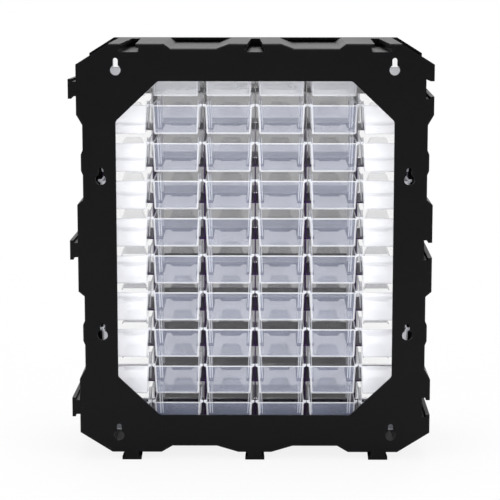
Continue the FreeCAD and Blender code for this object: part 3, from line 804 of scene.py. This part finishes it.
def drawer_places(node):
    """Where a node's drawers have the middle of their rear and their underside."""
    shape = bpy.context.scene.cabinet_drawer
    low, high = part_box(node)
    half = shape.front_width / 2
    middles = [(low[0] + high[0]) / 2]
    if high[0] - low[0] > 3 * half:
        middles = [low[0] + half, high[0] - half]
    return [Vector((x, high[1], low[2] + shape.front_low)) for x in middles]


class CABINET_OT_mouldings(bpy.types.Operator):
    """Finishes the black rear housing, the bezel and the lattice"""
    bl_idname = "cabinet.mouldings"
    bl_label = "Black Mouldings"
    bl_options = {"REGISTER", "UNDO"}

    def execute(self, context):
        finish = context.scene.cabinet_finish
        black = black_plastic(finish, "black_plastic_satin", finish.black)
        # The lattice takes its painted light between the drawers, and painted light on its
        # highest shelves
        lattice_painted_light = black_plastic(finish, "black_plastic_lattice_painted_light", finish.lattice,
                               tuple(finish.shelves_painted_light))
        for name, material in ((HOUSING, black), (BEZEL, black), (LATTICE, lattice_painted_light)):
            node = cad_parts[name]
            for slot in node.material_slots:
                slot.material = material
        return {"FINISHED"}


class CABINET_OT_drawers(bpy.types.Operator):
    """Models one clear drawer and puts a copy of it into every cell"""
    bl_idname = "cabinet.drawers"
    bl_label = "Clear Drawers"
    bl_options = {"REGISTER", "UNDO"}

    def execute(self, context):
        shape = context.scene.cabinet_drawer
        finish = context.scene.cabinet_finish
        parts = [make_tub(shape), make_front(shape), make_pull(shape)]
        parts += make_ears(shape) + make_ribs(shape) + make_stiles(shape)
        plastics = (clear_plastic(finish), painted_highlight_edge(finish), painted_shade_front(finish, shape))
        for part in parts:
            for plastic in plastics:
                part.data.materials.append(plastic)
        drawer = join(parts, "drawer_pattern")
        smooth(drawer, SMOOTH_ANGLE)
        names = [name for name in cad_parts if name.startswith("drawer")]
        if not names:
            raise RuntimeError("the frame has no drawers")
        for name in names:
            copies = []
            for place in drawer_places(name):
                copy = drawer.copy()
                copy.data = drawer.data.copy()
                copy.data.transform(Matrix.Translation(place))
                context.collection.objects.link(copy)
                copies.append(copy)
            piece = copies[0] if len(copies) == 1 else join(copies, "clear")
            piece.name = piece.data.name = "clear_" + name
            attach(piece, name)
            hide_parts(name)
        bpy.data.objects.remove(drawer)
        return {"FINISHED"}


def seen_directly(paint):
    """Is 1 for the camera and for what it sees through glass, and 0 for all other light."""
    path = paint.tree.nodes.new("ShaderNodeLightPath")
    camera, through = (Value(paint, path.outputs[name])
                       for name in ("Is Camera Ray", "Is Transmission Ray"))
    return camera.larger(through)


def add_floor(studio):
    """A wide pale floor that stays white in the picture and keeps a soft shadow, which fades
    out away from the cabinet."""
    deselect()
    bpy.ops.mesh.primitive_plane_add(size=FLOOR_SIZE, location=(0, 0, 0))
    floor = bpy.context.object
    floor.name = floor.data.name = "floor"
    paint = Paint("floor_pale")
    _, (x, y, _) = paint.place()
    paint.set(Base_Color=studio.floor_tone, Roughness=FLOOR_ROUGHNESS,
              Specular_IOR_Level=FLOOR_GLOSS)
    far = paint.rise(x * x + y * y, SHADOW_FROM ** 2, SHADOW_TO ** 2)
    white = paint.node("ShaderNodeEmission", None, {"Color": (1, 1, 1), "Strength": 1.0})
    factor = seen_directly(paint) * (studio.floor_white + far * (1 - studio.floor_white))
    mix = paint.node("ShaderNodeMixShader", None,
                     {0: factor, 1: Value(paint, paint.shader.outputs[0]), 2: white})
    output = paint.tree.nodes["Material Output"]
    paint.tree.links.new(mix.socket, output.inputs["Surface"])
    floor.data.materials.append(paint.material)


def add_room(studio):
    """Light from all round. The camera sees it white, and smooth faces mirror more of it on
    the drawers' side than on the camera's side."""
    world = bpy.data.worlds.new("studio")
    bpy.context.scene.world = world
    world.use_nodes = True
    tree = world.node_tree
    nodes, links = tree.nodes, tree.links
    background = nodes["Background"]
    background.inputs["Color"].default_value = (1, 1, 1, 1)
    path = nodes.new("ShaderNodeLightPath")
    place = nodes.new("ShaderNodeTexCoord")
    parts = nodes.new("ShaderNodeSeparateXYZ")
    links.new(place.outputs["Generated"], parts.inputs[0])
    mirrored = nodes.new("ShaderNodeMapRange")
    mirrored.interpolation_type = "SMOOTHSTEP"
    rear_share = 0.6
    for name, value in (("From Min", -0.7), ("From Max", 0.5), ("To Min", studio.front_gloss),
                        ("To Max", studio.room_light * rear_share)):
        mirrored.inputs[name].default_value = value
    links.new(parts.outputs[1], mirrored.inputs["Value"])
    gloss = nodes.new("ShaderNodeMix")
    gloss.inputs[2].default_value = studio.room_light
    links.new(path.outputs["Is Glossy Ray"], gloss.inputs[0])
    links.new(mirrored.outputs[0], gloss.inputs[3])
    whole = nodes.new("ShaderNodeMix")
    whole.inputs[3].default_value = 1.0
    links.new(path.outputs["Is Camera Ray"], whole.inputs[0])
    links.new(gloss.outputs[0], whole.inputs[2])
    links.new(whole.outputs[0], background.inputs["Strength"])


def add_lamp(name, place, size, power):
    """A square soft lamp that faces the middle of the cabinet."""
    deselect()
    place = Vector(place)
    aim = Vector(LAMP_AIM) - place
    turn = aim.to_track_quat("-Z", "Y").to_euler()
    bpy.ops.object.light_add(type="AREA", location=place, rotation=turn)
    lamp = bpy.context.object
    lamp.name = lamp.data.name = name
    lamp.data.shape = "SQUARE"
    lamp.data.size = size
    lamp.data.energy = power


def add_camera(studio):
    """The camera at the photograph's height, behind the cabinet."""
    deselect()
    back = CAD_BOX[1][1]
    tilt, turn = studio.camera_tilt, studio.camera_turn
    place = Vector((studio.camera_side, back + studio.camera_away, studio.camera_up))
    ahead = Vector((math.sin(turn) * math.cos(tilt), -math.cos(turn) * math.cos(tilt),
                    -math.sin(tilt)))
    bpy.ops.object.camera_add(location=place,
                              rotation=ahead.to_track_quat("-Z", "Y").to_euler())
    camera = bpy.context.object
    camera.name = camera.data.name = "camera"
    camera.data.sensor_width = 36
    camera.data.lens = studio.lens
    camera.data.shift_y = studio.lens_rise
    camera.data.clip_end = 200
    bpy.context.scene.camera = camera


class CABINET_OT_stage(bpy.types.Operator):
    """Adds the floor, the lamps, the room's light and the camera"""
    bl_idname = "cabinet.stage"
    bl_label = "Studio"
    bl_options = {"REGISTER", "UNDO"}

    def execute(self, context):
        studio = context.scene.cabinet_studio
        add_floor(studio)
        add_room(studio)
        for name, side in (("lamp_back_left", KEY_SIDE), ("lamp_back_right", -KEY_SIDE)):
            add_lamp(name, (side, KEY_BACK, KEY_UP), KEY_SIZE, studio.key_power)
        add_lamp("lamp_top", TOP_PLACE, TOP_SIZE, studio.top_power)
        add_lamp("lamp_front", FRONT_PLACE, FRONT_SIZE, studio.front_power)
        add_camera(studio)
        context.scene.view_settings.view_transform = "Standard"
        return {"FINISHED"}


class CABINET_PT_panel(bpy.types.Panel):
    """The cabinet's pieces, sizes and finishes"""
    bl_label = "Parts Bin Cabinet"
    bl_idname = "CABINET_PT_panel"
    bl_space_type = "VIEW_3D"
    bl_region_type = "UI"
    bl_category = "Cabinet"

    def draw(self, context):
        for operator in OPERATORS:
            self.layout.operator(operator.bl_idname)
        for group in (context.scene.cabinet_drawer, context.scene.cabinet_finish,
                      context.scene.cabinet_studio):
            box = self.layout.box()
            for name in group.__annotations__:
                box.prop(group, name)


GROUPS = {
    "cabinet_drawer": CabinetDrawerShape,
    "cabinet_finish": CabinetFinish,
    "cabinet_studio": CabinetStudio,
}
OPERATORS = (CABINET_OT_mouldings, CABINET_OT_drawers, CABINET_OT_stage)


def register():
    """Makes the groups, operators and panel known."""
    for name, group in GROUPS.items():
        bpy.utils.register_class(group)
        setattr(bpy.types.Scene, name, PointerProperty(type=group))
    for item in OPERATORS + (CABINET_PT_panel,):
        bpy.utils.register_class(item)


def unregister():
    """Takes them away again."""
    for item in (CABINET_PT_panel,) + OPERATORS[::-1]:
        bpy.utils.unregister_class(item)
    for name, group in GROUPS.items():
        delattr(bpy.types.Scene, name)
        bpy.utils.unregister_class(group)


def main():
    """Builds everything."""
    register()
    bpy.ops.cabinet.mouldings()
    bpy.ops.cabinet.drawers()
    bpy.ops.cabinet.stage()


if __name__ == "__main__":
    main()
